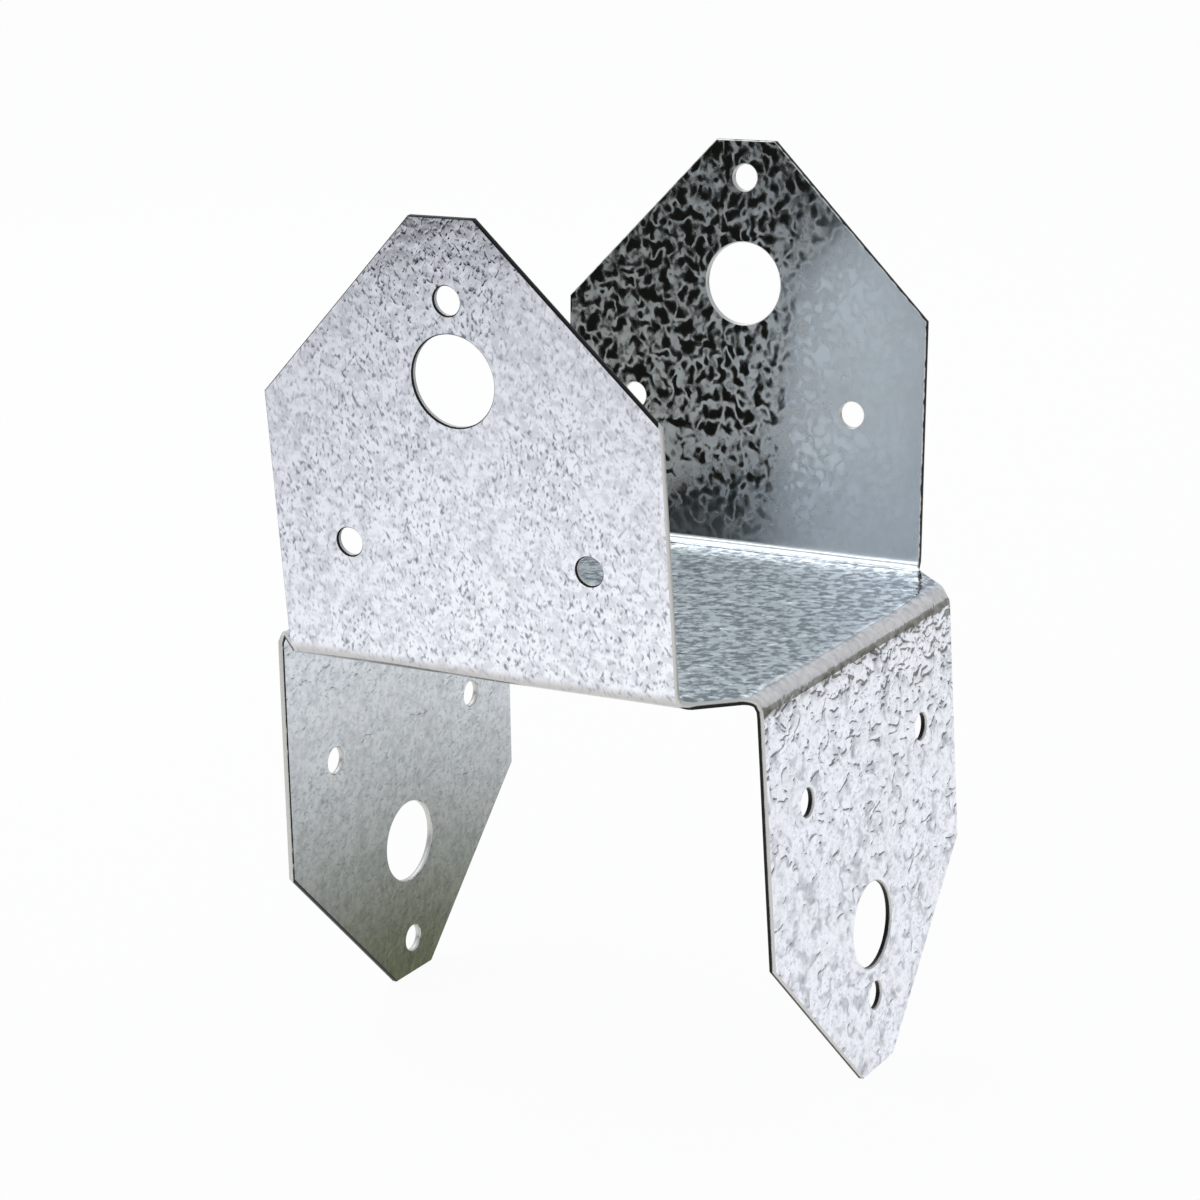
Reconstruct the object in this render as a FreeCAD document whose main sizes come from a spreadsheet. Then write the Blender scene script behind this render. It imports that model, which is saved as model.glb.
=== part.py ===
import FreeCAD, Part
import Sketcher
import os
from enum import IntEnum

# Post base: one punched sheet, folded up along two edges of a square seat and down along the other two.
# Millimetres, +Z up. The origin is the centre of the seat's top face, where the post stands.
# The up flanges are at -Y (front) and +Y (back), the down flanges at +X (right) and -X (left).

# Driving sizes. Distances along a flange start at the seat's face on the flange's inner side.
SIZES = {
    "sheet_thickness": 1.2,
    "bend_radius": 2.0,  # inside radius of all four folds
    "up_span": 90.5,  # clear width between the up flanges, for a nominal four inch post
    "down_span": 90.5,  # clear width between the down flanges
    "flange_width": 73.0,
    "flange_height": 75.0,
    "point_height": 30.4,  # from the shoulders, where a flange's sides turn in, to its tip
    "tip_width": 11.8,
    "bolt_hole": 15.0,  # diameter
    "bolt_from_tip": 25.9,
    "nail_hole": 4.8,  # diameter
    "nail_spacing": 44.8,  # between the two low nails of a flange
    "low_nail_row": 20.4,
    "high_nail_from_tip": 13.1,
    "nail_stagger": 6.4,  # raises the nails of one flange of each pair, so that opposite nails pass
    "front_lean": 4.7,  # degrees by which a fold stays short of square
    "back_lean": 3.4,
    "right_lean": 2.5,
    "left_lean": 0.3,
}

# Sizes that follow from the driving ones.
THICKNESS = "sizes.sheet_thickness"
OUTER_RADIUS = "(sizes.bend_radius + sizes.sheet_thickness)"
HALF_FLANGE = "(sizes.flange_width / 2)"
SHOULDER_ROW = "(sizes.flange_height - sizes.point_height)"
BOLT_ROW = "(sizes.flange_height - sizes.bolt_from_tip)"
HIGH_NAIL_ROW = "(sizes.flange_height - sizes.high_nail_from_tip)"
UP_OUTSIDE = "(sizes.up_span / 2 + sizes.sheet_thickness)"
DOWN_OUTSIDE = "(sizes.down_span / 2 + sizes.sheet_thickness)"
BEYOND = "(sizes.flange_height + sizes.up_span + sizes.down_span)"  # past everything, for a cut's far side


class Place(IntEnum):
    """Numbers of a line's or circle's points, and of a sketch's axes, whose start is its origin."""

    START = 1
    END = 2
    CENTRE = 3
    X_AXIS = -1
    Y_AXIS = -2


def make_sheet(doc):
    """Write the driving sizes into a spreadsheet, one named cell each."""
    sheet = doc.addObject("Spreadsheet::Sheet", "sizes")
    for row, (name, value) in enumerate(SIZES.items(), start=1):
        sheet.set(f"A{row}", name)
        sheet.set(f"B{row}", str(value))
        sheet.setAlias(f"B{row}", name)
    doc.recompute()


def number(item, expression):
    """The value of an expression on the sheet, in millimetres or degrees."""
    return float(item.evalExpression(expression))


def new_sketch(body, name, role, rise="0", out="0", turn="0"):
    """Start a sketch on an origin plane, moved along its Y and Z axes and then turned about its X axis."""
    sketch = body.newObject("Sketcher::SketchObject", name)
    plane = next(item for item in body.Origin.OriginFeatures if item.Role == role)
    sketch.AttachmentSupport = [(plane, "")]
    sketch.MapMode = "FlatFace"
    about_x = FreeCAD.Rotation(FreeCAD.Vector(1, 0, 0), number(sketch, turn))
    sketch.AttachmentOffset = FreeCAD.Placement(FreeCAD.Vector(0, 0, 0), about_x)
    sketch.setExpression("AttachmentOffset.Base.y", rise)
    sketch.setExpression("AttachmentOffset.Base.z", out)
    if number(sketch, turn):
        sketch.setExpression("AttachmentOffset.Rotation.Angle", turn)
    return sketch


def dimension(sketch, kind, places, expression):
    """Add a dimension on the given places of a sketch and bind it to the sheet."""
    index = sketch.addConstraint(Sketcher.Constraint(kind, *places, number(sketch, expression)))
    sketch.setExpression(f"Constraints[{index}]", expression)


def pin_point(sketch, place, across, along):
    """Hold a point at its distances from the sketch's origin, or on the axis where a distance is 0."""
    distances = (("DistanceX", across, Place.Y_AXIS), ("DistanceY", along, Place.X_AXIS))
    for kind, expression, axis in distances:
        if expression == "0":
            sketch.addConstraint(Sketcher.Constraint("PointOnObject", *place, axis))
        else:
            dimension(sketch, kind, (Place.X_AXIS, Place.START, *place), expression)


def add_polygon(sketch, corners):
    """Draw a closed polygon through corners, each a pair of expressions, and hold every corner."""
    points = [FreeCAD.Vector(number(sketch, across), number(sketch, along), 0) for across, along in corners]
    first = sketch.GeometryCount
    for point, following in zip(points, points[1:] + points[:1]):
        sketch.addGeometry(Part.LineSegment(point, following))
    for index, (across, along) in enumerate(corners):
        following = first + (index + 1) % len(corners)
        meeting = (first + index, Place.END, following, Place.START)
        sketch.addConstraint(Sketcher.Constraint("Coincident", *meeting))
        pin_point(sketch, (first + index, Place.START), across, along)


def add_hole(sketch, across, along, diameter):
    """Draw a round hole and hold its centre and diameter."""
    centre = FreeCAD.Vector(number(sketch, across), number(sketch, along), 0)
    circle = Part.Circle(centre, FreeCAD.Vector(0, 0, 1), number(sketch, diameter) / 2)
    hole = sketch.addGeometry(circle)
    dimension(sketch, "Diameter", (hole,), diameter)
    pin_point(sketch, (hole, Place.CENTRE), across, along)


def channel_side(outside, lean, sign):
    """Corners of one flange of a channel's section, from its inner fold to its outer one, both square."""
    height = "sizes.flange_height"
    turn = f"({lean} * 1 deg)"
    tip_across = f"({outside} + {height} * sin{turn})"
    tip_along = f"({height} * cos{turn})"
    return [
        (f"{sign}({outside} - {THICKNESS} / cos{turn})", "0"),
        (f"{sign}({tip_across} - {THICKNESS} * cos{turn})", f"{tip_along} + {THICKNESS} * sin{turn}"),
        (f"{sign}{tip_across}", tip_along),
        (f"{sign}({outside} - {THICKNESS} * tan{turn})", f"-{THICKNESS}"),
    ]


def add_channel(body, name, role, rise, turn, outside, leans, width):
    """Pad a channel: the seat between a pair of flanges, with square folds, as wide as the seat's flat."""
    sketch = new_sketch(body, f"{name}_section", role, rise=rise, turn=turn)
    low_side = channel_side(outside, leans[0], "-")
    high_side = channel_side(outside, leans[1], "")
    add_polygon(sketch, low_side + high_side[::-1])
    channel = body.newObject("PartDesign::Pad", name)
    channel.Profile = sketch
    channel.SideType = "Symmetric"
    channel.setExpression("Length", width)
    body.Document.recompute()
    return channel


def straight_edges(shape, direction, level, outside):
    """Names of the straight edges along a direction, at a height, at least a distance out to either side."""
    found = []
    for index, edge in enumerate(shape.Edges, start=1):
        ends = [vertex.Point for vertex in edge.Vertexes]
        if len(ends) != 2 or not (ends[1] - ends[0]).isParallel(direction, 1e-6):
            continue
        middle = (ends[0] + ends[1]) / 2
        sideways = abs(middle.cross(direction).z)
        if abs(middle.z - level) < 1e-6 and sideways > outside:
            found.append(f"Edge{index}")
    return found


def round_folds(body, name, channel, direction, levels, span):
    """Round a channel's two folds, inside to the bend radius and outside to a sheet's thickness more."""
    rounded = channel
    inside_fold = number(body, f"({span} - sizes.bend_radius) / 2")
    radii = {"inside": "sizes.bend_radius", "outside": OUTER_RADIUS}
    for (side, radius), level in zip(radii.items(), levels):
        edges = straight_edges(rounded.Shape, direction, number(body, level), inside_fold)
        fold = body.newObject("PartDesign::Fillet", f"{name}_{side}")
        fold.Base = (rounded, edges)
        fold.setExpression("Radius", radius)
        body.Document.recompute()
        rounded = fold


def cut(body, name, sketch, depth=None):
    """Pocket a sketch to both sides of its plane, right through or to a depth, and see that it cuts metal."""
    before = body.Shape.Volume
    pocket = body.newObject("PartDesign::Pocket", name)
    pocket.Profile = sketch
    pocket.SideType = "Symmetric"
    if depth:
        pocket.setExpression("Length", depth)
    else:
        pocket.Type = "ThroughAll"
    body.Document.recompute()
    if not body.Shape.Volume < before:
        raise RuntimeError(f"{name} cuts nothing")


def cut_corners(body):
    """Notch the corners: each keeps a straight web from one flange's inner side edge to the next one's."""
    sketch = new_sketch(body, "corner_notches", "XY_Plane")
    for x_sign in ("", "-"):
        for y_sign in ("", "-"):
            corners = [
                (HALF_FLANGE, "sizes.up_span / 2"),
                ("sizes.down_span / 2", HALF_FLANGE),
                (BEYOND, HALF_FLANGE),
                (BEYOND, BEYOND),
                (HALF_FLANGE, BEYOND),
            ]
            add_polygon(sketch, [(f"{x_sign}({across})", f"{y_sign}({along})") for across, along in corners])
    cut(body, "corner_cuts", sketch)


def punch_flange(body, name, role, rise, out, turn, stagger):
    """Cut one flange's pointed end and punch its bolt hole and three nail holes, square to the flange."""
    sketch = new_sketch(body, f"{name}_outline", role, rise, out, turn)
    past_side = f"({HALF_FLANGE} + {THICKNESS})"
    past_tip = f"(sizes.flange_height + {THICKNESS})"
    slope = [
        (HALF_FLANGE, SHOULDER_ROW),
        ("sizes.tip_width / 2", "sizes.flange_height"),
        ("sizes.tip_width / 2", past_tip),
        (past_side, past_tip),
        (past_side, SHOULDER_ROW),
    ]
    low_row = f"sizes.low_nail_row + {stagger}"
    for sign in ("", "-"):
        add_polygon(sketch, [(f"{sign}({across})", along) for across, along in slope])
        add_hole(sketch, f"{sign}(sizes.nail_spacing / 2)", low_row, "sizes.nail_hole")
    add_hole(sketch, "0", f"{HIGH_NAIL_ROW} + {stagger}", "sizes.nail_hole")
    add_hole(sketch, "0", BOLT_ROW, "sizes.bolt_hole")
    cut(body, f"{name}_punching", sketch, f"4 * {THICKNESS}")


def make_post_base(doc):
    """Fold a channel that opens upwards and one that opens downwards, and cut and punch them both."""
    body = doc.addObject("PartDesign::Body", "post_base")
    body.Label = "post_base"
    underside = f"-{THICKNESS}"
    up_flat = "(sizes.up_span - 2 * sizes.bend_radius)"
    down_flat = "(sizes.down_span - 2 * sizes.bend_radius)"
    up_leans = ("sizes.front_lean", "sizes.back_lean")
    up = add_channel(body, "up_channel", "YZ_Plane", "0", "0", UP_OUTSIDE, up_leans,
                     f"max(sizes.flange_width; {down_flat})")
    round_folds(body, "up_folds", up, FreeCAD.Vector(1, 0, 0), ("0", underside), "sizes.up_span")
    down_leans = ("sizes.left_lean", "sizes.right_lean")
    down = add_channel(body, "down_channel", "XZ_Plane", underside, "180", DOWN_OUTSIDE, down_leans,
                       f"max(sizes.flange_width; {up_flat})")
    round_folds(body, "down_folds", down, FreeCAD.Vector(0, 1, 0), (underside, "0"), "sizes.down_span")
    cut_corners(body)
    punch_flange(body, "front", "XZ_Plane", "0", UP_OUTSIDE, "sizes.front_lean", "0")
    punch_flange(body, "back", "XZ_Plane", "0", f"-{UP_OUTSIDE}", "-sizes.back_lean", "sizes.nail_stagger")
    punch_flange(body, "right", "YZ_Plane", underside, DOWN_OUTSIDE, "180 - sizes.right_lean", "0")
    punch_flange(body, "left", "YZ_Plane", underside, f"-{DOWN_OUTSIDE}", "180 + sizes.left_lean",
                 "sizes.nail_stagger")
    return body


def write_parts(doc, bodies):
    """Write each sub-part's solid once every object of the document is sound."""
    doc.recompute()
    for item in doc.Objects:
        if "Invalid" in item.State or "Error" in item.State:
            raise RuntimeError(f"{item.Name} failed: {item.State}")
    os.makedirs("parts", exist_ok=True)
    for body in bodies:
        if body.Shape.isNull() or not body.Shape.isValid() or len(body.Shape.Solids) != 1:
            raise RuntimeError(f"{body.Label} is not one sound solid")
        body.Shape.exportStep(f"parts/{body.Label}.step")
        print(body.Label, "volume", round(body.Shape.Volume, 1), "box", body.Shape.BoundBox)


document = FreeCAD.newDocument("post_base_document")
make_sheet(document)
write_parts(document, [make_post_base(document)])
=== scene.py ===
"""Looks of a post base: one galvanised sheet, punched and folded, on a pale studio floor."""

import logging
import math
from dataclasses import dataclass, field
from enum import Enum
from typing import Any

import bpy
import numpy as np
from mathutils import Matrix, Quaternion, Vector, geometry, kdtree, noise


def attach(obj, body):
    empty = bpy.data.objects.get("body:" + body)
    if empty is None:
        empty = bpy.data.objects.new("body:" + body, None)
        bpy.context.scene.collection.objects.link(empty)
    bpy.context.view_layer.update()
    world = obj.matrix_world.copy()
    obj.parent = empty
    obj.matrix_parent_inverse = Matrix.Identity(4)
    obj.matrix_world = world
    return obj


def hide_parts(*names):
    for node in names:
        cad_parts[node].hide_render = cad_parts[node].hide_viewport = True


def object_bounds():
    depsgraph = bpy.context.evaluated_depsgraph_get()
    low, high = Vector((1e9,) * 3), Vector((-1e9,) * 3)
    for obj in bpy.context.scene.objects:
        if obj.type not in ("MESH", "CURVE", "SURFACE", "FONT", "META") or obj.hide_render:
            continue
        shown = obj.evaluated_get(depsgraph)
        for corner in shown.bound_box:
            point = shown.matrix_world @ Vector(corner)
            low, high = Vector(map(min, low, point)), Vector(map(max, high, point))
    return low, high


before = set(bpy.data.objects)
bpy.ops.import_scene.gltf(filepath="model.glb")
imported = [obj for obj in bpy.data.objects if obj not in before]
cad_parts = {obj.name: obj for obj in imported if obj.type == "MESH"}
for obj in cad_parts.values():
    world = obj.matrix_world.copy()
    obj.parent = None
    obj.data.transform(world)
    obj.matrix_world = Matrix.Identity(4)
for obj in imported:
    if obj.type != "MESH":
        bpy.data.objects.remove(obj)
cad_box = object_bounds()

log = logging.getLogger("post_base")
MM = 0.001
Colour = tuple[float, float, float]
Band = tuple[float, float]


class Wire:
    """A node's output that adds Math nodes when it is used in an expression."""

    def __init__(self, graph: "Graph", socket: bpy.types.NodeSocket | None) -> None:
        """Keep the output and the graph that it belongs to."""
        self.graph = graph
        self.socket = socket

    def maths(self, operation: str, *values: Any) -> "Wire":
        """Add one Math node, with wires or numbers as its inputs in order."""
        return self.graph.add("ShaderNodeMath", {"operation": operation}, dict(enumerate(values)))

    def __add__(self, other: Any) -> "Wire":
        """Sum."""
        return self.maths("ADD", self, other)

    def __sub__(self, other: Any) -> "Wire":
        """Difference."""
        return self.maths("SUBTRACT", self, other)

    def __rsub__(self, other: Any) -> "Wire":
        """Difference from a number."""
        return self.maths("SUBTRACT", other, self)

    def __mul__(self, other: Any) -> "Wire":
        """Product."""
        return self.maths("MULTIPLY", self, other)

    __radd__ = __add__
    __rmul__ = __mul__

    def clamped(self) -> "Wire":
        """The value kept between 0 and 1."""
        return self.graph.add("ShaderNodeClamp", {}, {"Value": self})

    def above(self, floor: float) -> "Wire":
        """A value from 0 to 1, brought to between a floor and 1."""
        return self * (1.0 - floor) + floor

    def step(self, low: float, high: float) -> "Wire":
        """A smooth step from 0 at low to 1 at high, which may be the smaller of the two."""
        sockets = {"Value": self, "From Min": low, "From Max": high}
        return self.graph.add("ShaderNodeMapRange", {"interpolation_type": "SMOOTHSTEP"}, sockets)

    def ridge(self, width: float) -> "Wire":
        """Veins in a noise: 1 where it passes its middle, and 0 from a width on to either side."""
        away = self - 0.5
        return away.maths("ABSOLUTE", away).step(width, 0.0)


class Graph:
    """The nodes of one material or world."""

    MIX_SOCKETS = (0, 6, 7)
    MIX_RESULT = 2

    def __init__(self, tree: bpy.types.NodeTree) -> None:
        """Start from an empty tree."""
        self.tree = tree
        tree.nodes.clear()

    def add(self, kind: str, settings: dict[str, Any], inputs: dict[Any, Any], output: Any = 0) -> Wire:
        """Add one node.

        Args:
            kind: the node's type.
            settings: its properties, which are set first.
            inputs: its sockets by name or number, each a wire or a value.
            output: name or number of the output that is wanted.

        Returns:
            That output.
        """
        node = self.tree.nodes.new(kind)
        for name, value in settings.items():
            setattr(node, name, value)
        for name, value in inputs.items():
            if isinstance(value, Wire):
                self.tree.links.new(value.socket, node.inputs[name])
            else:
                node.inputs[name].default_value = value
        return Wire(self, node.outputs[output] if len(node.outputs) else None)

    def attribute(self, name: str, output: str) -> Wire:
        """A named attribute of the mesh."""
        return self.add("ShaderNodeAttribute", {"attribute_name": name}, {}, output)

    def blend(self, factor: Any, first: Any, second: Any, way: str = "MIX") -> Wire:
        """Mix two colours.

        Args:
            factor: share of the second colour, a wire or a number.
            first: wire or colour.
            second: wire or colour.
            way: blend type of the Mix node.

        Returns:
            The mixed colour.
        """
        settings = {"data_type": "RGBA", "blend_type": way}
        colours = [colour if isinstance(colour, Wire) else (*colour, 1.0) for colour in (first, second)]
        inputs = dict(zip(self.MIX_SOCKETS, (factor, *colours)))
        return self.add("ShaderNodeMix", settings, inputs, self.MIX_RESULT)


@dataclass(frozen=True)
class Grain:
    """A cloudy noise, which may be drawn out along Y and then turned about Z, anticlockwise."""

    size: float
    stretch: float = 1.0
    turn: float = 0.0
    detail: float = 2.0
    roughness: float = 0.5
    distortion: float = 0.0
    band: Band | None = None

    def over(self, graph: Graph, place: Wire) -> Wire:
        """Lay the noise over a surface.

        Args:
            graph: nodes of the surface's material.
            place: coordinates in metres.

        Returns:
            A value around 0.5, or a step from 0 to 1 where the grain has a band for it.
        """
        if self.stretch != 1.0:
            drawn = {"Vector": place, "Rotation": (0.0, 0.0, self.turn), "Scale": (1.0, self.stretch, 1.0)}
            place = graph.add("ShaderNodeMapping", {"vector_type": "TEXTURE"}, drawn)
        inputs = {
            "Vector": place,
            "Scale": 1 / self.size,
            "Detail": self.detail,
            "Roughness": self.roughness,
            "Distortion": self.distortion,
        }
        value = graph.add("ShaderNodeTexNoise", {}, inputs, "Fac")
        return value.step(*self.band) if self.band else value


class Finish:
    """A material whose surface is made by a subclass."""

    name: str

    def make(self) -> bpy.types.Material:
        """Make the material and connect its surface.

        Returns:
            The material.
        """
        material = bpy.data.materials.new(self.name)
        material.use_nodes = True
        graph = Graph(material.node_tree)
        graph.add("ShaderNodeOutputMaterial", {}, {"Surface": self.surface(graph)})
        return material

    def surface(self, graph: Graph) -> Wire:
        """The shader of this finish."""
        raise NotImplementedError


class Pattern(Enum):
    """What the coat does, by the name of its strength in a look and in the mesh."""

    SPECKS = "specks"
    WRINKLES = "wrinkles"
    STROKES = "strokes"
    LINES = "lines"
    MOTTLE = "mottle"
    PATCHES = "patches"
    CREASE = "crease"
    ROUGHNESS = "roughness"


@dataclass(frozen=True)
class GalvanisedFinish(Finish):
    """Zinc coat: a glossy metal skin, wrinkled, with duller worms in it and fine dark specks, and with
    painted light and shade of its relief and its reflections in its colour.
    """

    name: str = "galvanised_sheet"
    lavender: Colour = (0.90, 0.925, 1.00)
    grey: Colour = (0.88, 0.90, 0.97)
    # dark colour of the specks and patches, and of the painted shade of the lines and crests
    marks_and_relief_shade: Colour = (0.17, 0.185, 0.22)
    # colour of the darker broken band just past a fold's end
    crease_dark: Colour = (0.16, 0.15, 0.11)
    cloud: Grain = Grain(13.0 * MM, detail=3.0, band=(0.38, 0.62))
    cloud_floor: float = 0.6
    swell: Grain = Grain(4.0 * MM, detail=2.2, roughness=0.6, distortion=0.3)
    swell_height: float = 0.16 * MM
    stroke: Grain = Grain(2.1 * MM, stretch=1.5, turn=-0.2, detail=1.2, distortion=0.5)
    stroke_height: float = 0.16 * MM
    crest: Band = (0.52, 0.76)
    # how dark the crests' painted shade is
    crest_painted_shade: float = 0.34
    steep_speck: Grain = Grain(0.48 * MM, stretch=2.0, turn=0.25, detail=0.6, band=(0.54, 0.82))
    slanted_speck: Grain = Grain(0.624 * MM, stretch=2.0, turn=-0.4, detail=0.6, band=(0.56, 0.82))
    speck_depth: float = 0.02 * MM
    line: Grain = Grain(3.9 * MM, stretch=1.4, turn=-0.2, detail=1.4, distortion=0.6)
    line_break: Grain = Grain(3.12 * MM, stretch=1.4, turn=-0.2, detail=1.0, band=(0.42, 0.60))
    line_width: float = 0.085
    line_height: float = 0.10 * MM
    # how dark the lines' painted shade is
    line_painted_shade: float = 0.4
    worm: Grain = Grain(2.5 * MM, stretch=1.2, detail=1.5, distortion=0.3)
    worm_fade: Grain = Grain(1.75 * MM, stretch=1.2, band=(0.25, 0.70))
    worm_width: float = 0.17
    worm_floor: float = 0.45
    patch: Grain = Grain(1.4 * MM, detail=3.0, band=(0.40, 0.63))
    crease_grain: Grain = Grain(2.2 * MM, band=(0.40, 0.62))
    crease_floor: float = 0.15
    roughness_spread: float = 0.40

    def surface(self, graph: Graph) -> Wire:
        """The shader of the zinc coat.

        Args:
            graph: the material's nodes.

        Returns:
            The shader.
        """
        place = graph.attribute("blank", "Vector")
        share = {pattern: graph.attribute(pattern.value, "Fac") for pattern in Pattern}
        clouds = self.cloud.over(graph, place)
        strokes = self.stroke.over(graph, place)
        # specks: dark marks, partly painted shade of the small dents that the bump presses in
        specks = self.specks(graph, place) * share[Pattern.SPECKS] * clouds.above(self.cloud_floor)
        lines = self.line.over(graph, place).ridge(self.line_width) * self.line_break.over(graph, place)
        lines = lines * share[Pattern.LINES]
        # Painted shade of the relief: the crests of the strokes and the wrinkle lines are darkened in the
        # colour.
        painted_crest_shade = strokes.step(*self.crest) * share[Pattern.LINES] * self.crest_painted_shade
        # patches: a dark mottle in the colour, partly the coat's own uneven tone and partly painted shade and
        # reflection of its ripples
        patches = self.patch.over(graph, place) * share[Pattern.PATCHES]
        # a darker broken band just past each fold's end, where a look has a crease
        crease_band = self.crease_grain.over(graph, place).above(self.crease_floor) * share[Pattern.CREASE]
        coat = graph.blend(clouds, self.grey, self.lavender)
        # Dark marks painted into the colour: specks, the painted shade of the lines and crests, and patches.
        for mark in (specks, lines * self.line_painted_shade, painted_crest_shade, patches):
            coat = graph.blend(mark.clamped(), coat, self.marks_and_relief_shade)
        # Painted light and shade: the coat's colour is brightened or darkened by region, where its
        # reflections are brighter or darker.
        coat = graph.blend(1.0, coat, graph.attribute("painted_light", "Color"), "MULTIPLY")
        coat = graph.blend(crease_band.clamped(), coat, self.crease_dark)
        relief = self.swell.over(graph, place) * share[Pattern.WRINKLES] * self.swell_height
        relief = relief + strokes * share[Pattern.STROKES] * self.stroke_height
        relief = relief - specks * self.speck_depth + lines * self.line_height
        bump = graph.add("ShaderNodeBump", {}, {"Strength": 1.0, "Distance": 1.0, "Height": relief})
        bloom = self.bloom(graph, place) * share[Pattern.MOTTLE] * self.roughness_spread
        roughness = (bloom + share[Pattern.ROUGHNESS]).clamped()
        sockets = {"Base Color": coat, "Metallic": 1.0, "Roughness": roughness, "Normal": bump}
        return graph.add("ShaderNodeBsdfPrincipled", {}, sockets)

    def specks(self, graph: Graph, place: Wire) -> Wire:
        """Short dark strokes of all strengths that lie two ways across the rolled sheet; in the colour they
        are partly painted shade of the small dents that the bump presses in.
        """
        return (self.steep_speck.over(graph, place) + self.slanted_speck.over(graph, place)).clamped()

    def bloom(self, graph: Graph, place: Wire) -> Wire:
        """Dull worms between the coat's glossy spots, from -0.5 to 0.5."""
        dull = self.worm_fade.over(graph, place).above(self.worm_floor)
        return self.worm.over(graph, place).ridge(self.worm_width) * dull - 0.5


@dataclass(frozen=True)
class ShearedFinish(Finish):
    """Cut edge of the sheet: a smooth band where the blade went in, then dark broken steel."""

    name: str = "sheared_edge"
    smooth: Colour = (0.72, 0.71, 0.68)
    broken: Colour = (0.015, 0.015, 0.016)
    metallic: float = 0.8
    roughness: float = 0.45
    grain: Grain = Grain(1.6 * MM)
    ragged: float = 0.5
    border: Band = (-0.04, 0.06)

    def surface(self, graph: Graph) -> Wire:
        """The shader of the cut edge.

        Args:
            graph: the material's nodes.

        Returns:
            The shader.
        """
        ragged = (self.grain.over(graph, graph.attribute("blank", "Vector")) - 0.5) * self.ragged
        broken = (graph.attribute("past_blade", "Fac") + ragged).step(*self.border)
        colour = graph.blend(broken, self.smooth, self.broken)
        sockets = {"Base Color": colour, "Metallic": self.metallic, "Roughness": self.roughness}
        return graph.add("ShaderNodeBsdfPrincipled", {}, sockets)


class Side(Enum):
    """The four flanges, each with its way out of the seat in plan."""

    FRONT = (0, -1)
    RIGHT = (1, 0)
    BACK = (0, 1)
    LEFT = (-1, 0)


class Face(Enum):
    """The sheet's two faces, by where they are at the seat."""

    TOP = 1
    UNDER = -1


@dataclass(frozen=True)
class Look:
    """How the coat shows on one face of a stretch of the sheet: its patterns' strengths, then its painted
    light and shade.
    """

    specks: float = 0.5
    wrinkles: float = 0.5
    strokes: float = 0.0
    lines: float = 0.0
    mottle: float = 0.2
    mottle_fade: float = 0.0
    patches: float = 0.0
    crease: float = 0.0
    roughness: float = 0.17
    # Painted light and shade that multiply the coat's colour and stand in for brighter and darker
    # reflections: along the flange, in the middle of its fold, and at its tip.
    painted_light: Colour = (1.0, 1.0, 1.0)
    fold_painted_light: Colour = (1.0, 1.0, 1.0)
    tip_painted_light: Colour = (1.0, 1.0, 1.0)
    tip_reach: float = 1.0
    tip_slant: float = 0.0


PLAIN_LOOK = Look()
# Painted light and shade in the looks: the seat and the front flange are a little lighter and the back flange
# darker; the front flange greys and the left flange darkens to olive toward their tips; the folds carry
# painted reflection tints, and the inner front fold a dark one.
SEAT_LOOKS = {
    Face.TOP: Look(specks=0.1, wrinkles=1.6, patches=0.86, roughness=0.12, painted_light=(1.07, 1.08, 1.08)),
    Face.UNDER: PLAIN_LOOK,
}
FLANGE_LOOKS = {
    (Side.FRONT, Face.UNDER): Look(
        specks=0.85, wrinkles=0.3, patches=0.26, roughness=0.16, painted_light=(1.06, 1.06, 1.05),
        fold_painted_light=(0.62, 0.59, 0.54), tip_painted_light=(0.81, 0.81, 0.82), tip_slant=-0.3,
    ),
    (Side.FRONT, Face.TOP): Look(specks=0.2, wrinkles=0.2, mottle=0.1, fold_painted_light=(0.36, 0.38, 0.40)),
    (Side.RIGHT, Face.TOP): Look(
        specks=0.5, wrinkles=0.9, strokes=1.4, lines=1.25, patches=0.14, crease=0.8, roughness=0.11,
        fold_painted_light=(1.06, 0.96, 0.87),
    ),
    (Side.BACK, Face.TOP): Look(
        specks=0.0, wrinkles=0.12, mottle=0.95, mottle_fade=0.78, roughness=0.22,
        painted_light=(0.80, 0.82, 0.75), tip_painted_light=(0.90, 0.92, 0.85),
    ),
    (Side.LEFT, Face.UNDER): Look(
        specks=0.45, wrinkles=1.6, strokes=1.2, lines=0.35, patches=0.2,
        painted_light=(0.78, 0.80, 0.79), tip_painted_light=(0.11, 0.12, 0.06), tip_slant=0.15,
    ),
}


@dataclass(frozen=True)
class Flange:
    """One flange of the sheet, with the share of its cut edges that the blade left smooth."""

    side: Side
    rises: int
    lean: float
    stagger: float
    smooth_outline: float
    smooth_flank: float
    smooth_holes: float

    @property
    def outward(self) -> np.ndarray:
        """Unit vector out of the seat, in plan."""
        return np.array(self.side.value, float)

    @property
    def across(self) -> np.ndarray:
        """Unit vector along the fold, in plan, anticlockwise about the seat."""
        x, y = self.side.value
        return np.array((-y, x), float)

    def look(self, face: Face) -> Look:
        """How the coat shows on one of its faces."""
        return FLANGE_LOOKS.get((self.side, face), PLAIN_LOOK)


@dataclass(frozen=True)
class Fold:
    """The fold of one flange, by the sheet's middle: distances run from the seat's centre along the blank."""

    start: float
    radius: float
    turn: float

    @property
    def end(self) -> float:
        """Distance at which the fold is over."""
        return self.start + self.radius * self.turn

    def place(self, distance: np.ndarray) -> tuple[np.ndarray, np.ndarray, np.ndarray]:
        """Fold points of the blank.

        Args:
            distance: from the seat's centre along the blank.

        Returns:
            Distance out in plan, distance off the seat's plane, and the sheet's angle to that plane.
        """
        angle = np.clip((distance - self.start) / self.radius, 0.0, self.turn)
        beyond = np.maximum(distance - self.end, 0.0)
        out = np.minimum(distance, self.start) + self.radius * np.sin(angle) + beyond * math.cos(self.turn)
        rise = self.radius * (1.0 - np.cos(angle)) + beyond * math.sin(self.turn)
        return out, rise, angle


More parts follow.
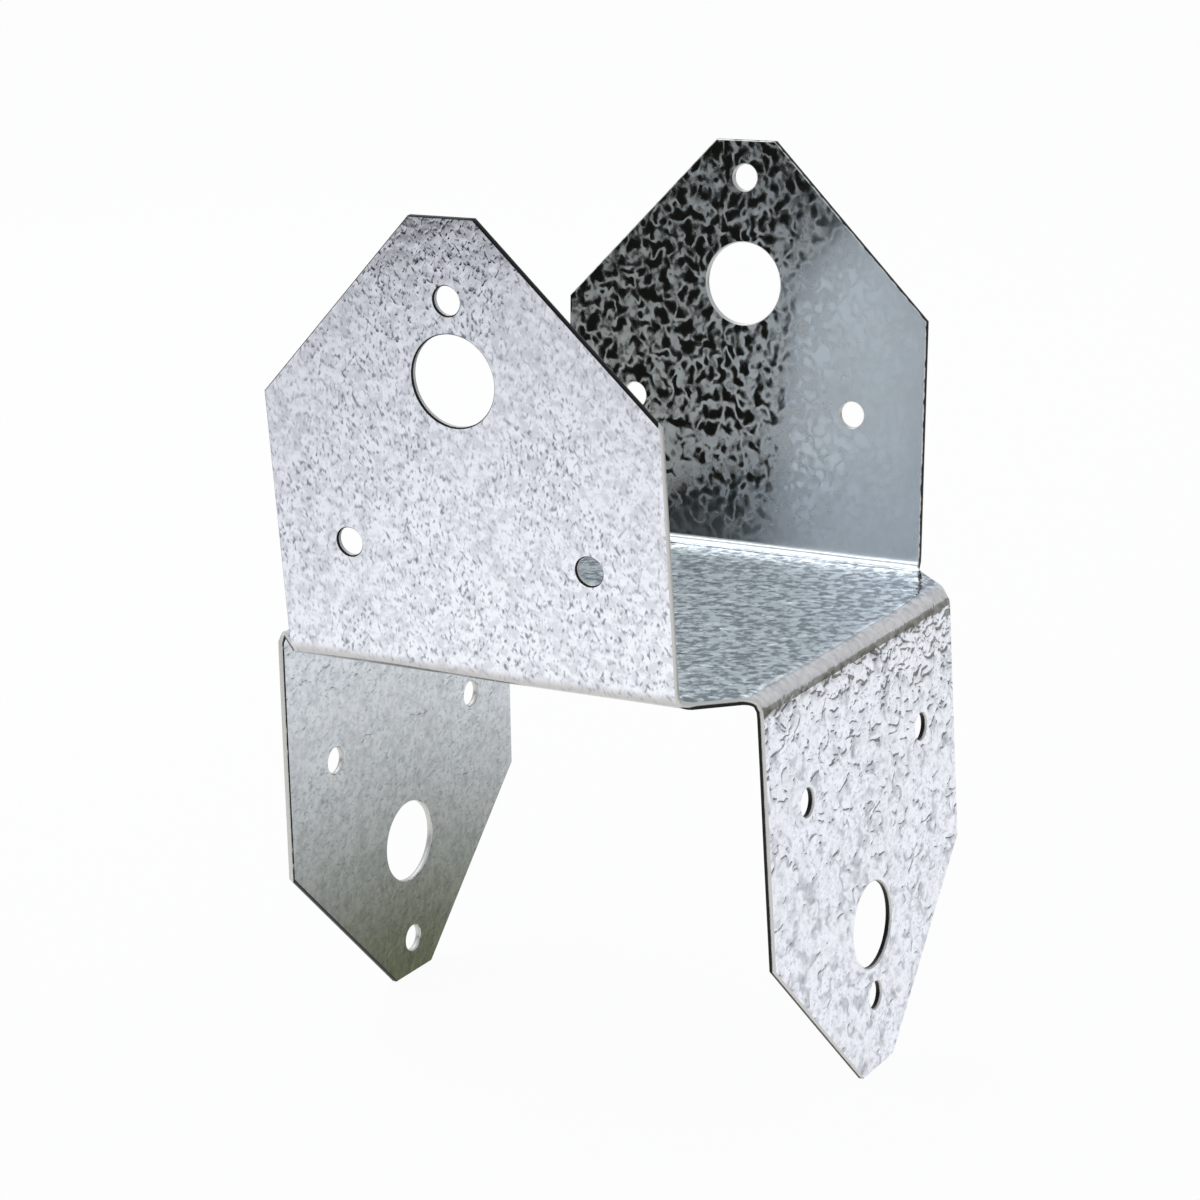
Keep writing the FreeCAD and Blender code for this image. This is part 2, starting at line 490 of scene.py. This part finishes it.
@dataclass
class PostBase:
    """The folded sheet: a flat blank is outlined, punched, filled with triangles, folded and thickened."""

    thickness: float = 1.2 * MM
    bend_radius: float = 2.0 * MM
    span: float = 90.5 * MM
    flange_width: float = 73.0 * MM
    flange_height: float = 75.0 * MM
    point_height: float = 30.4 * MM
    tip_width: float = 11.8 * MM
    bolt_hole: float = 15.0 * MM
    bolt_from_tip: float = 25.9 * MM
    nail_hole: float = 4.8 * MM
    nail_spacing: float = 44.8 * MM
    low_nail_row: float = 20.4 * MM
    high_nail_from_tip: float = 13.1 * MM
    nail_stagger: float = 6.4 * MM
    edge_ease: float = 0.18 * MM
    edge_band: float = 0.4 * MM
    pitch: float = 1.2 * MM
    clear_of_edge: float = 0.72 * MM
    hole_pitch: float = 0.6 * MM
    fewest_hole_points: int = 28
    web_points: int = 6
    fold_rows: int = 10
    merge_distance: float = 1e-7
    waviness: float = 0.10 * MM
    wave_length: float = 28.0 * MM
    crease_width: float = 0.8 * MM
    fold_calm: float = 0.625
    mottle_rise: float = 0.16
    fade_reach: float = 26.0 * MM
    near_edge: float = 0.3 * MM
    smooth_web: float = 0.42
    flanges: tuple[Flange, ...] = field(init=False)
    folds: dict[Side, Fold] = field(init=False)
    piece: bpy.types.Object = field(init=False)

    def __post_init__(self) -> None:
        """Set the four flanges with their leans and cut edges."""
        self.flanges = (
            Flange(
                Side.FRONT, rises=1, lean=math.radians(4.7), stagger=0.0,
                smooth_outline=0.15, smooth_flank=1.5, smooth_holes=0.62,
            ),
            Flange(
                Side.RIGHT, rises=-1, lean=math.radians(2.5), stagger=0.0,
                smooth_outline=0.42, smooth_flank=0.42, smooth_holes=0.3,
            ),
            Flange(
                Side.BACK, rises=1, lean=math.radians(3.4), stagger=self.nail_stagger,
                smooth_outline=0.1, smooth_flank=-0.5, smooth_holes=0.8,
            ),
            Flange(
                Side.LEFT, rises=-1, lean=math.radians(0.3), stagger=self.nail_stagger,
                smooth_outline=0.2, smooth_flank=0.82, smooth_holes=1.0,
            ),
        )
        self.folds = {flange.side: self.fold_of(flange) for flange in self.flanges}

    def fold_of(self, flange: Flange) -> Fold:
        """Find the fold that sets a flange's outer face at the sheet's outside width at the seat.

        Args:
            flange: the flange.

        Returns:
            Its fold.
        """
        outside = self.span / 2 + self.thickness
        outer_radius = self.bend_radius + self.thickness
        start = outside - (outer_radius - self.bend_radius * math.sin(flange.lean)) / math.cos(flange.lean)
        return Fold(start, self.bend_radius + self.thickness / 2, math.pi / 2 - flange.lean)

    def row(self, flange: Flange, height: float) -> float:
        """Find a height of a flange on the blank.

        Args:
            flange: the flange.
            height: counted along the flange from the seat's face inside the fold.

        Returns:
            Distance from the seat's centre along the blank.
        """
        fold = self.folds[flange.side]
        outside = self.span / 2 + self.thickness
        fold_top = (fold.start - outside) * math.sin(flange.lean) + self.bend_radius * math.cos(flange.lean)
        return fold.end + height - fold_top

    def flange_outline(self, flange: Flange) -> list[np.ndarray]:
        """Outline one flange on the blank.

        Args:
            flange: the flange.

        Returns:
            Its corners from corner web to corner web, anticlockwise.
        """
        fold = self.folds[flange.side]
        half = self.flange_width / 2
        web = half + self.span / 2
        last = math.asin((self.span / 2 - fold.start) / fold.radius)
        side = []
        for angle in np.linspace(0.0, last, self.web_points):
            distance = fold.start + fold.radius * angle
            out, _, _ = fold.place(np.array(distance))
            side.append((web - float(out), distance))
        side.append((half, self.row(flange, self.flange_height - self.point_height)))
        side.append((self.tip_width / 2, self.row(flange, self.flange_height)))
        mirrored = [(-a, d) for a, d in side]
        return [a * flange.across + d * flange.outward for a, d in mirrored + side[::-1]]

    def holes_of(self, flange: Flange) -> list[tuple[np.ndarray, float]]:
        """Set out the holes of a flange on the blank.

        Args:
            flange: the flange.

        Returns:
            Centre and radius of each hole.
        """
        low = self.row(flange, self.low_nail_row + flange.stagger)
        high = self.row(flange, self.flange_height - self.high_nail_from_tip + flange.stagger)
        bolt = self.row(flange, self.flange_height - self.bolt_from_tip)
        half_spacing = self.nail_spacing / 2
        spots = [
            (-half_spacing, low, self.nail_hole),
            (half_spacing, low, self.nail_hole),
            (0.0, high, self.nail_hole),
            (0.0, bolt, self.bolt_hole),
        ]
        return [(a * flange.across + d * flange.outward, width / 2) for a, d, width in spots]

    def loops(self) -> list[np.ndarray]:
        """Trace the blank's closed outlines with the metal on their left.

        Returns:
            Points of the outside, then of each hole.
        """
        corners = [point for flange in self.flanges for point in self.flange_outline(flange)]
        outside = []
        for point, following in zip(corners, corners[1:] + corners[:1]):
            steps = max(1, round(float(np.linalg.norm(following - point)) / self.pitch))
            outside += [point + (following - point) * k / steps for k in range(steps)]
        found = [np.array(outside)]
        for flange in self.flanges:
            for centre, radius in self.holes_of(flange):
                count = max(self.fewest_hole_points, round(2 * math.pi * radius / self.hole_pitch))
                angles = -2 * math.pi * np.arange(count) / count
                found.append(centre + radius * np.stack([np.cos(angles), np.sin(angles)], 1))
        return found

    @staticmethod
    def outset(points: np.ndarray, ahead: np.ndarray, distance: float) -> np.ndarray:
        """Move outline points out of the metal on their left.

        Args:
            points: points of closed outlines.
            ahead: for each point, the number of the next one along its outline.
            distance: how far; a negative one moves them into the metal.

        Returns:
            The moved points.
        """
        way = points[ahead] - points
        way /= np.linalg.norm(way, axis=1)[:, None]
        right = np.stack([way[:, 1], -way[:, 0]], 1)
        both = right.copy()
        both[ahead] += right
        return points + both * (2 * distance / np.sum(both * both, axis=1))[:, None]

    def inset(self, loop: np.ndarray, depth: float) -> np.ndarray:
        """Move a closed outline into the metal on its left."""
        return self.outset(loop, np.roll(np.arange(len(loop)), -1), -depth)

    def levels(self, low: Flange, high: Flange) -> np.ndarray:
        """Space rows of points across the blank, closer together in the folds.

        Args:
            low: the flange that the rows start from.
            high: the opposite one.

        Returns:
            Distance of each row from the seat's centre.
        """
        seat = np.arange(-self.span / 2, self.span / 2, self.pitch)
        inside = min(self.folds[low.side].start, self.folds[high.side].start)
        rows = [seat[np.abs(seat) < inside - self.pitch / 2]]
        for flange, sign in ((low, -1), (high, 1)):
            fold = self.folds[flange.side]
            tip = self.row(flange, self.flange_height)
            rows.append(sign * np.linspace(fold.start, fold.end, self.fold_rows + 1))
            rows.append(sign * np.arange(fold.end + self.pitch, tip, self.pitch))
        return np.sort(np.concatenate(rows))

    def lattice(self, loops: list[np.ndarray]) -> np.ndarray:
        """Spread points over the blank, clear of its outlines.

        Args:
            loops: the outlines.

        Returns:
            The points.
        """
        front, right, back, left = self.flanges
        grid_x, grid_y = np.meshgrid(self.levels(left, right), self.levels(front, back))
        points = np.stack([grid_x.ravel(), grid_y.ravel()], 1)
        far = np.abs(points)
        half = self.flange_width / 2
        points = points[(far.min(1) < half) | (far.sum(1) < half + self.span / 2)]
        edge = np.concatenate(loops)
        tree = kdtree.KDTree(len(edge))
        for index, (x, y) in enumerate(edge):
            tree.insert((x, y, 0.0), index)
        tree.balance()
        gap = self.edge_band + self.clear_of_edge
        return np.array([p for p in points if tree.find((p[0], p[1], 0.0))[2] > gap])

    def fill(self, loops: list[np.ndarray]) -> tuple[np.ndarray, np.ndarray]:
        """Fill the blank with triangles between its outlines.

        Args:
            loops: the outlines.

        Returns:
            The points and the triangles' corners.
        """
        points = [point for loop in loops for point in loop]
        edges = []
        first = 0
        for loop in loops:
            count = len(loop)
            edges += [(first + k, first + (k + 1) % count) for k in range(count)]
            first += count
        points += [point for loop in loops for point in self.inset(loop, self.edge_band)]
        points += list(self.lattice(loops))
        flat = [Vector(point) for point in points]
        inside = 1
        found, _, triangles, _, _, _ = geometry.delaunay_2d_cdt(flat, edges, [], inside, self.merge_distance)
        placed = np.array([tuple(point) for point in found])
        corners = np.array([tuple(triangle) for triangle in triangles])
        middles = placed[corners].mean(1)
        open_space = np.zeros(len(corners), bool)
        for flange in self.flanges:
            for centre, radius in self.holes_of(flange):
                open_space |= np.linalg.norm(middles - centre, axis=1) < radius
        return placed, corners[~open_space]

    def folded(self, blank: np.ndarray, depth: float) -> np.ndarray:
        """Fold points of the blank.

        Args:
            blank: points in plan.
            depth: how far they lie above the sheet's middle, on the face that is up at the seat.

        Returns:
            Their places in space.
        """
        place = np.zeros((len(blank), 3))
        place[:, :2] = blank
        normal = np.tile((0.0, 0.0, 1.0), (len(blank), 1))
        for flange in self.flanges:
            fold = self.folds[flange.side]
            distance = blank @ flange.outward
            bent = distance > fold.start
            out, rise, angle = fold.place(distance[bent])
            along = np.outer(blank[bent] @ flange.across, flange.across)
            place[bent, :2] = along + np.outer(out, flange.outward)
            place[bent, 2] = flange.rises * rise
            normal[bent, :2] = np.outer(-flange.rises * np.sin(angle), flange.outward)
            normal[bent, 2] = np.cos(angle)
        place[:, 2] -= self.thickness / 2
        return place + normal * (depth + self.wave_at(blank))[:, None]

    def wave_at(self, blank: np.ndarray) -> np.ndarray:
        """Swell the sheet off its plane, both ways at the seat and only inward on the flanges.

        Args:
            blank: points in plan.

        Returns:
            How far each point moves toward the face that is up at the seat.
        """
        wave = np.array([noise.noise(Vector((x, y, 0.0)) / self.wave_length) for x, y in blank])
        for flange in self.flanges:
            through, _ = self.shares(blank, flange)
            wave += through * (flange.rises * (1.0 + wave) / 2 - wave)
        return self.waviness * wave

    @staticmethod
    def rim_of(triangles: np.ndarray) -> dict[int, int]:
        """The filled blank's free edges, from each corner to the next one, with the metal on their left."""
        edges = {(int(t[k]), int(t[(k + 1) % 3])) for t in triangles for k in range(3)}
        return {a: b for a, b in edges if (b, a) not in edges}

    def build(self) -> None:
        """Make the sheet: two faces, and between them an eased and sheared edge."""
        blank, triangles = self.fill([self.inset(loop, self.edge_ease) for loop in self.loops()])
        following = self.rim_of(triangles)
        rim = np.array(list(following))
        order = {vertex: k for k, vertex in enumerate(rim)}
        ahead = np.array([order[following[vertex]] for vertex in rim])
        outline = self.outset(blank[rim], ahead, self.edge_ease)
        face = self.thickness / 2
        lip = face - self.edge_ease
        layers = [(blank, face), (blank, -face), (outline, lip), (outline, -lip)]
        mesh = self.joined(layers, triangles, rim, ahead)
        self.paint(mesh, layers)
        mesh.validate()
        mesh.update()
        borders = [(int(rim[k]), int(rim[j])) for k, j in enumerate(ahead)]
        sharp = {frozenset((a + start, b + start)) for a, b in borders for start in (0, len(blank))}
        for line in mesh.edges:
            line.use_edge_sharp = frozenset(line.vertices) in sharp
        self.piece = bpy.data.objects.new("post_base_sheet", mesh)
        bpy.context.scene.collection.objects.link(self.piece)
        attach(self.piece, "root")
        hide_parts("post_base")

    def joined(
        self,
        layers: list[tuple[np.ndarray, float]],
        triangles: np.ndarray,
        rim: np.ndarray,
        ahead: np.ndarray,
    ) -> bpy.types.Mesh:
        """Join the sheet's layers into one mesh, with the cut faces in a slot of their own.

        Args:
            layers: top and under face, then the cut edge's upper and lower border, each with its depth.
            triangles: corners of a face's triangles.
            rim: numbers of a face's points along its outlines.
            ahead: for each of those, the place in rim of the next one.

        Returns:
            The mesh.
        """
        count = len(layers[0][0])
        upper = 2 * count
        lower = upper + len(rim)
        faces = [tuple(t) for t in triangles] + [tuple(t[::-1] + count) for t in triangles]
        walls = []
        for k, j in enumerate(ahead):
            a, b = rim[k], rim[j]
            walls.append((b, a, upper + k, upper + j))
            walls.append((a + count, b + count, lower + j, lower + k))
            walls.append((upper + j, upper + k, lower + k, lower + j))
        places = np.concatenate([self.folded(points, depth) for points, depth in layers])
        mesh = bpy.data.meshes.new("post_base_sheet")
        mesh.from_pydata(places.tolist(), [], [tuple(int(v) for v in f) for f in faces + walls])
        mesh.polygons.foreach_set("use_smooth", np.ones(len(mesh.polygons), bool))
        slots = np.zeros(len(mesh.polygons), np.int32)
        slots[len(faces):] = 1
        mesh.polygons.foreach_set("material_index", slots)
        return mesh

    def paint(self, mesh: bpy.types.Mesh, layers: list[tuple[np.ndarray, float]]) -> None:
        """Write what the finishes need to know at each point of the mesh.

        Args:
            mesh: the sheet's mesh.
            layers: its points in order, as stretches of the blank with their depth in the sheet.
        """
        blank = np.concatenate([points for points, _ in layers])
        depth = np.concatenate([np.full(len(points), level) for points, level in layers])
        values = {pattern.value: np.zeros(len(blank)) for pattern in Pattern}
        painted_light = np.ones((len(blank), 4))
        for face in Face:
            own = np.sign(depth) == face.value
            for pattern in Pattern:
                values[pattern.value][own] = self.pattern_at(blank[own], face, pattern)
            # painted light and shade of the coat, by region
            painted_light[own, :3] = self.painted_light_at(blank[own], face)
        values["past_blade"] = 0.5 - depth / self.thickness - self.smooth_share(blank)
        spots = np.column_stack([blank, np.sign(depth) * self.flange_height])
        mesh.attributes.new("blank", "FLOAT_VECTOR", "POINT").data.foreach_set("vector", spots.ravel())
        mesh.attributes.new("painted_light", "FLOAT_COLOR", "POINT").data.foreach_set("color", painted_light.ravel())
        for name, value in values.items():
            mesh.attributes.new(name, "FLOAT", "POINT").data.foreach_set("value", value)

    def smooth_share(self, blank: np.ndarray) -> np.ndarray:
        """Find how much of the cut edge the blade left smooth; a flank is the side ahead along the fold.

        Args:
            blank: points in plan.

        Returns:
            Share of the edge that is smooth, from the sheet's top face.
        """
        share = np.full(len(blank), self.smooth_web)
        for flange in self.flanges:
            through, _ = self.shares(blank, flange)
            flank = blank @ flange.across > self.flange_width / 2 - self.near_edge
            own = np.where(flank, flange.smooth_flank, flange.smooth_outline)
            for centre, radius in self.holes_of(flange):
                own[np.linalg.norm(blank - centre, axis=1) < radius + self.near_edge] = flange.smooth_holes
            share += through * (own - share)
        return share

    def shares(self, blank: np.ndarray, flange: Flange) -> tuple[np.ndarray, np.ndarray]:
        """Find how far points are through a flange's fold and up that flange.

        Args:
            blank: points in plan.
            flange: the flange.

        Returns:
            The way through the fold and the way up from it, each from 0 to 1.
        """
        fold = self.folds[flange.side]
        distance = blank @ flange.outward
        through = np.clip((distance - fold.start) / (fold.end - fold.start), 0.0, 1.0)
        return through, np.clip((distance - fold.end) / self.flange_height, 0.0, 1.0)

    def pattern_at(self, blank: np.ndarray, face: Face, pattern: Pattern) -> np.ndarray:
        """Strength of one of the coat's patterns, which are calmer in the folds.

        Args:
            blank: points in plan.
            face: the face that they lie on.
            pattern: the pattern.

        Returns:
            Its strength at each point.
        """
        value = np.full(len(blank), getattr(SEAT_LOOKS[face], pattern.value))
        for flange in self.flanges:
            look = flange.look(face)
            own = getattr(look, pattern.value)
            through, up = self.shares(blank, flange)
            if pattern is Pattern.CREASE:
                past_fold = blank @ flange.outward - self.folds[flange.side].end
                value += own * np.exp(-(past_fold / self.crease_width) ** 2)
                continue
            reached = through
            if pattern is Pattern.MOTTLE:
                reached = (up / self.mottle_rise).clip(0.0, 1.0)
                behind = (-blank @ flange.across / self.fade_reach).clip(0.0, 1.0)
                own = own * (1.0 - look.mottle_fade * behind)
            value += reached * (own - value)
            if pattern is not Pattern.ROUGHNESS:
                value *= 1.0 - self.fold_calm * 4.0 * through * (1.0 - through)
        return value

    def painted_light_at(self, blank: np.ndarray, face: Face) -> np.ndarray:
        """Painted light and shade of the coat, which change in the folds and toward the tips.

        Args:
            blank: points in plan.
            face: the face that they lie on.

        Returns:
            The painted tone at each point, which multiplies the coat's colour.
        """
        painted_light = np.tile(SEAT_LOOKS[face].painted_light, (len(blank), 1))
        for flange in self.flanges:
            look = flange.look(face)
            through, up = (share[:, None] for share in self.shares(blank, flange))
            behind = np.maximum(-blank @ flange.across, 0.0)[:, None] / self.flange_width * 2
            reached = np.clip((up - look.tip_slant * behind) / look.tip_reach, 0.0, 1.0)
            tip = reached**2 * (3.0 - 2.0 * reached)
            own = np.array(look.painted_light) * (1.0 - tip) + np.array(look.tip_painted_light) * tip
            painted_light += through * (own - painted_light)
            painted_light *= 1.0 + 4.0 * through * (1.0 - through) * (np.array(look.fold_painted_light) - 1.0)
        return painted_light

    def dress(self) -> None:
        """Give the sheet its zinc coat and its cut edges."""
        self.piece.data.materials.append(GalvanisedFinish().make())
        self.piece.data.materials.append(ShearedFinish().make())


@dataclass(frozen=True)
class FloorFinish(Finish):
    """Pale floor: white where it is looked at, with the object's shadow kept."""

    name: str = "studio_floor"
    colour: Colour = (0.85, 0.85, 0.85)
    white: Colour = (1.0, 1.0, 1.0)
    glow: float = 0.95
    looks: tuple[str, ...] = ("Is Camera Ray", "Is Glossy Ray", "Is Transmission Ray")

    def surface(self, graph: Graph) -> Wire:
        """The shader of the floor.

        Args:
            graph: the material's nodes.

        Returns:
            The shader.
        """
        camera, glossy, through = (graph.add("ShaderNodeLightPath", {}, {}, look) for look in self.looks)
        seen = (camera + glossy + through).clamped() * self.glow
        plain = graph.add("ShaderNodeBsdfDiffuse", {}, {"Color": (*self.colour, 1.0)})
        white = graph.add("ShaderNodeEmission", {}, {"Color": (*self.white, 1.0), "Strength": 1.0})
        return graph.add("ShaderNodeMixShader", {}, {0: seen, 1: plain, 2: white})


@dataclass(frozen=True)
class MattFinish(Finish):
    """Plain matt colour of a studio screen."""

    name: str
    colour: Colour

    def surface(self, graph: Graph) -> Wire:
        """The shader of the screen."""
        return graph.add("ShaderNodeBsdfDiffuse", {}, {"Color": (*self.colour, 1.0)})


def add_sheet(name: str, corners: list[Vector], finish: Finish) -> bpy.types.Object:
    """Add a flat sheet of the studio, which isn't part of the object.

    Args:
        name: its name.
        corners: its corners in order.
        finish: its finish.

    Returns:
        The sheet.
    """
    mesh = bpy.data.meshes.new(name)
    mesh.from_pydata(corners, [], [tuple(range(len(corners)))])
    mesh.materials.append(finish.make())
    sheet = bpy.data.objects.new(name, mesh)
    bpy.context.scene.collection.objects.link(sheet)
    return sheet


@dataclass(frozen=True)
class Lamp:
    """A soft panel of light that hangs level."""

    name: str
    place: tuple[float, float, float]
    size: tuple[float, float]
    power: float

    def build(self) -> None:
        """Hang the lamp."""
        light = bpy.data.lights.new(self.name, "AREA")
        light.shape = "RECTANGLE"
        light.size, light.size_y = self.size
        light.energy = self.power
        lamp = bpy.data.objects.new(self.name, light)
        lamp.location = self.place
        bpy.context.scene.collection.objects.link(lamp)


@dataclass(frozen=True)
class Screen:
    """A dark screen that stands on the floor, square to the object, for the metal to reflect."""

    name: str
    middle: tuple[float, float]
    width: float
    top: float
    colour: Colour

    def build(self, base: float) -> None:
        """Stand the screen on the floor, out of the camera's sight.

        Args:
            base: height of the floor.
        """
        middle = Vector((*self.middle, 0.0))
        along = Vector((-middle.y, middle.x, 0.0)).normalized() * self.width / 2
        low, high = Vector((0.0, 0.0, base)), Vector((0.0, 0.0, self.top))
        corners = [middle - along + low, middle + along + low, middle + along + high, middle - along + high]
        screen = add_sheet(self.name, corners, MattFinish(self.name, self.colour))
        screen.visible_camera = False
        screen.visible_diffuse = False
        screen.visible_shadow = False


@dataclass
class Studio:
    """Floor, lamps, surroundings and camera."""

    floor_reach: float = 40.0
    focal_length: float = 90.97
    sensor_width: float = 36.0
    nearest_sight: float = 0.01
    camera_place: tuple[float, float, float] = (0.25149, -0.43964, 0.14040)
    camera_aim: tuple[float, float, float] = (-0.00276, -0.00160, 0.00130)
    camera_roll: float = math.radians(-1.276)
    room: Colour = (0.58, 0.62, 0.65)
    lamps: tuple[Lamp, ...] = (
        Lamp("near_panel", place=(-0.50, 0.36, 0.75), size=(0.60, 1.18), power=3.1),
        Lamp("far_panel", place=(-0.65, -0.79, 0.75), size=(0.70, 0.36), power=1.2),
    )
    screens: tuple[Screen, ...] = (
        Screen("felt", middle=(-0.275, -0.51), width=0.9, top=0.18, colour=(0.012, 0.012, 0.010)),
        Screen("board", middle=(0.18, 0.32), width=0.6, top=0.05, colour=(0.46, 0.44, 0.39)),
    )

    def build(self, base: float) -> None:
        """Set up the studio.

        Args:
            base: height of the floor.
        """
        self.add_floor(base)
        for screen in self.screens:
            screen.build(base)
        for lamp in self.lamps:
            lamp.build()
        self.add_world()
        self.add_camera()
        bpy.context.scene.view_settings.view_transform = "Standard"

    def add_floor(self, base: float) -> None:
        """Lay the floor.

        Args:
            base: its height.
        """
        reach = self.floor_reach
        spots = ((-reach, -reach), (reach, -reach), (reach, reach), (-reach, reach))
        add_sheet("floor", [Vector((x, y, base)) for x, y in spots], FloorFinish())

    def add_world(self) -> None:
        """Surround the object with a soft, cool, even room."""
        world = bpy.data.worlds.new("room")
        world.use_nodes = True
        graph = Graph(world.node_tree)
        background = graph.add("ShaderNodeBackground", {}, {"Color": (*self.room, 1.0), "Strength": 1.0})
        graph.add("ShaderNodeOutputWorld", {}, {"Surface": background})
        bpy.context.scene.world = world

    def add_camera(self) -> None:
        """Set the camera where the photograph was taken from."""
        data = bpy.data.cameras.new("camera")
        data.lens = self.focal_length
        data.sensor_width = self.sensor_width
        data.clip_start = self.nearest_sight
        camera = bpy.data.objects.new("camera", data)
        camera.location = self.camera_place
        sight = Vector(self.camera_aim) - Vector(self.camera_place)
        roll = Quaternion((0.0, 0.0, 1.0), self.camera_roll)
        camera.rotation_mode = "QUATERNION"
        camera.rotation_quaternion = sight.to_track_quat("-Z", "Y") @ roll
        bpy.context.scene.collection.objects.link(camera)
        bpy.context.scene.camera = camera


def main() -> None:
    """Build the post base and its studio, and log what was built."""
    logging.basicConfig(level=logging.INFO)
    post_base = PostBase()
    post_base.build()
    post_base.dress()
    log.info("%s: %d faces", post_base.piece.name, len(post_base.piece.data.polygons))
    studio = Studio()
    studio.build(base=cad_box[0].z)
    log.info("studio: floor, %d screens, %d lamps", len(studio.screens), len(studio.lamps))


if __name__ == "__main__":
    main()
